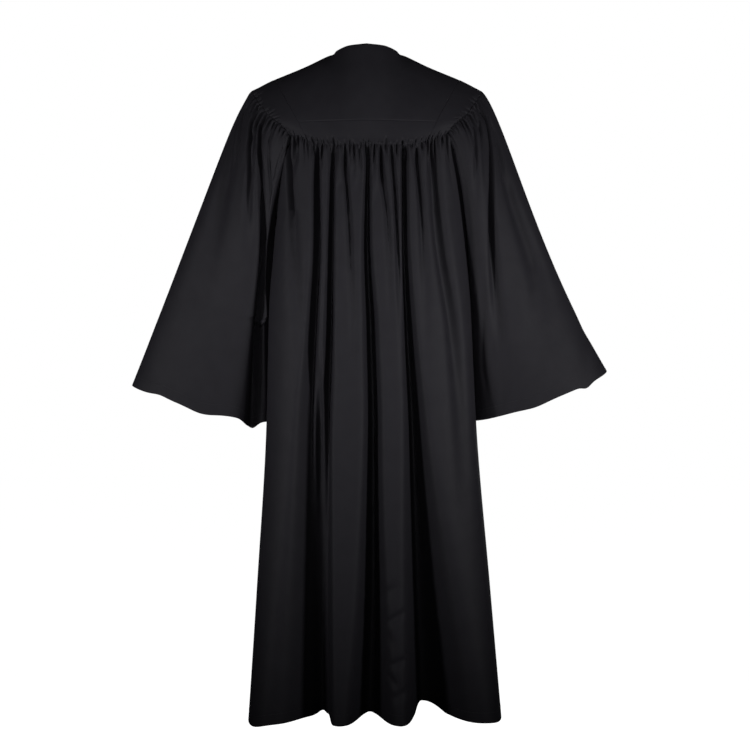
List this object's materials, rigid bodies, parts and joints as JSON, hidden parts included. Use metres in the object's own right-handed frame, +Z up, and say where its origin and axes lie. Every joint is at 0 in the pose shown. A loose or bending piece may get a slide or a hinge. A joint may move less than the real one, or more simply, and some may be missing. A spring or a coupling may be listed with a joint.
{
  "type": "clergy robe",
  "caption": "Full-length gathered pulpit robe with open bell sleeves, a paneled yoke and a front zip, shaped as worn on a figure.",
  "frame": {"origin": "midway between the two neck points of the shoulders, where the robe hangs on its wearer", "axes": "+Z up, +Y towards the robe's back, +X towards the wearer's left"},
  "size_m": [0.9644, 0.3676, 1.3158],
  "materials": {
    "robe cloth": "matte black woven polyester",
    "zip tape": "black woven tape",
    "zip metal": "black enamelled metal"
  },
  "bodies": {
    "robe": {"back": "robe cloth", "front_left": "robe cloth", "front_right": "robe cloth", "yoke_back": "robe cloth", "band_back": "robe cloth", "strap_left": "robe cloth", "strap_right": "robe cloth", "yoke_front_left": "robe cloth", "yoke_front_right": "robe cloth", "sleeve_left": "robe cloth", "sleeve_right": "robe cloth", "zip": "zip tape", "zip_slider": "zip metal"},
    "zip_pull": {"zip_pull": "zip metal"}
  },
  "joints": [
    {"name": "pull_swing", "type": "hinge", "parent": "robe", "child": "zip_pull", "pos_m": [0, -0.10409, -0.15701], "axis": [-1, 0, 0], "range_deg": [0, 150]}
  ]
}
